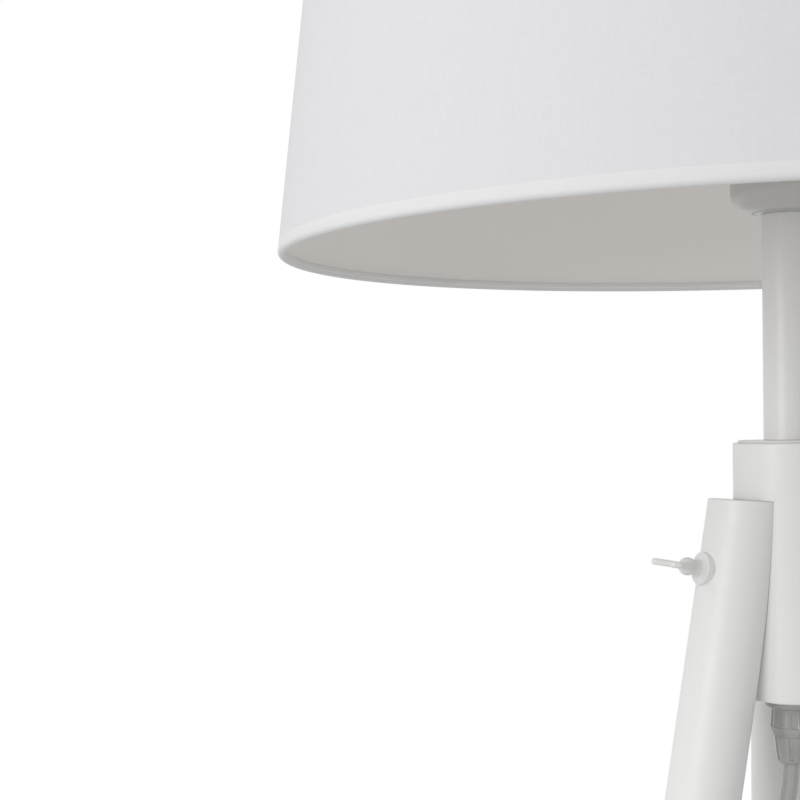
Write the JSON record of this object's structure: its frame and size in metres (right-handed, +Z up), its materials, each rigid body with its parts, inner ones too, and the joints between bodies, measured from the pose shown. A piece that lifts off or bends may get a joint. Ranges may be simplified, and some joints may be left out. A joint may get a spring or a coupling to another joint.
{
  "type": "tripod floor lamp",
  "caption": "Tripod floor lamp: splayed round legs clamped in a grooved hub by wing screws, a short stem, a lampholder, a tapered fabric shade and a mains lead with foot switch and plug.",
  "frame": {"origin": "on the floor, under the lamp's upright axis, at the middle of the ring of feet", "axes": "+Z up along the stem, +Y towards the back leg, +X to the right of someone facing the lamp's front"},
  "size_m": [0.4194, 0.4313, 1.4229],
  "materials": {
    "painted_wood": "satin white paint over turned hardwood",
    "painted_metal": "white powder coat",
    "holder_plastic": "white moulded lampholder plastic",
    "holder_core": "heat-proof moulded core",
    "zinc_steel": "zinc-plated steel",
    "brass": "plain brass",
    "grey_plastic": "grey moulded nylon",
    "clear_plastic": "clear ribbed nylon, slightly smoky",
    "cord_sheath": "clear PVC sheath over a grey braid",
    "shade_fabric": "white plain-weave shade cloth",
    "shade_lining": "white laminated film",
    "white_wire": "white coated steel wire",
    "bulb_glass": "opal glass",
    "bulb_metal": "plain screw cap",
    "bulb_insulator": "dark vitreous insulator",
    "foot_pad": "pale felt glide",
    "switch_plastic": "white moulded plastic",
    "button_plastic": "white moulded plastic, fine texture",
    "switch_block": "moulded contact block",
    "coil_tie": "white plastic strap",
    "plug_pin": "nickel-plated brass",
    "pin_sleeve": "insulating sleeve"
  },
  "bodies": {
    "stand": {"hub": "painted_wood", "leg_left": "painted_wood", "leg_right": "painted_wood", "leg_back": "painted_wood", "stem_tube": "painted_metal", "hub_top_plate": "painted_metal", "lampholder_cup": "holder_plastic", "lampholder_skirt": "holder_plastic", "lampholder_core": "holder_core", "stem_lower_bush": "zinc_steel", "stem_upper_bush": "zinc_steel", "stem_nipple": "zinc_steel", "grip_nipple": "zinc_steel", "holder_nipple": "zinc_steel", "holder_nut": "zinc_steel", "hub_top_insert": "zinc_steel", "hub_bottom_insert": "zinc_steel", "switch_screws": "zinc_steel", "switch_spring": "zinc_steel", "leg_inserts": "brass", "contact_shell": "brass", "centre_contact": "brass", "terminal_screws": "brass", "flange_nut": "grey_plastic", "cord_grip_collar": "clear_plastic", "cord_grip_nose": "clear_plastic", "lamp_lead": "cord_sheath", "cord_drop": "cord_sheath", "cord_coil": "cord_sheath", "switch_leads": "cord_sheath", "shade_fabric": "shade_fabric", "shade_lower_hem": "shade_fabric", "shade_upper_hem": "shade_fabric", "shade_lining": "shade_lining", "shade_spider": "white_wire", "shade_lower_ring": "white_wire", "foot_pad_left": "foot_pad", "foot_pad_right": "foot_pad", "foot_pad_back": "foot_pad", "switch_base": "switch_plastic", "switch_cover": "switch_plastic", "plug_body": "switch_plastic", "plug_boot": "switch_plastic", "switch_block": "switch_block", "coil_tie": "coil_tie", "plug_pins": "plug_pin", "plug_pin_sleeves": "pin_sleeve"},
    "wing_screw_left_body": {"wing_screw_left": "painted_metal"},
    "wing_screw_right_body": {"wing_screw_right": "painted_metal"},
    "wing_screw_back_body": {"wing_screw_back": "painted_metal"},
    "shade_ring": {"shade_ring_nut": "holder_plastic"},
    "bulb": {"bulb_globe": "bulb_glass", "bulb_cap": "bulb_metal", "bulb_insulator": "bulb_insulator", "bulb_tip": "bulb_metal"},
    "foot_button": {"switch_button": "button_plastic"}
  },
  "joints": [
    {"name": "wing_screw_left_turn", "type": "hinge", "parent": "stand", "child": "wing_screw_left_body", "pos_m": [-0.03499, -0.0202, 1.04338], "axis": [-0.8532, -0.4926, 0.1718], "continuous": true},
    {"name": "wing_screw_right_turn", "type": "hinge", "parent": "stand", "child": "wing_screw_right_body", "pos_m": [0.03499, -0.0202, 1.04338], "axis": [0.8532, -0.4926, 0.1718], "continuous": true},
    {"name": "wing_screw_back_turn", "type": "hinge", "parent": "stand", "child": "wing_screw_back_body", "pos_m": [0, 0.0404, 1.04338], "axis": [0, 0.9851, 0.1718], "continuous": true},
    {"name": "shade_ring_turn", "type": "hinge", "parent": "stand", "child": "shade_ring", "pos_m": [0, 0, 1.2455], "axis": [0, 0, 1], "continuous": true},
    {"name": "bulb_turn", "type": "hinge", "parent": "stand", "child": "bulb", "pos_m": [0, 0, 1.244], "axis": [0, 0, 1], "continuous": true},
    {"name": "foot_button_press", "type": "slide", "parent": "stand", "child": "foot_button", "axis": [0, 0, -1], "range_m": [0, 0.003], "stiffness_N_per_m": 600, "deforming": ["switch_spring"]}
  ]
}
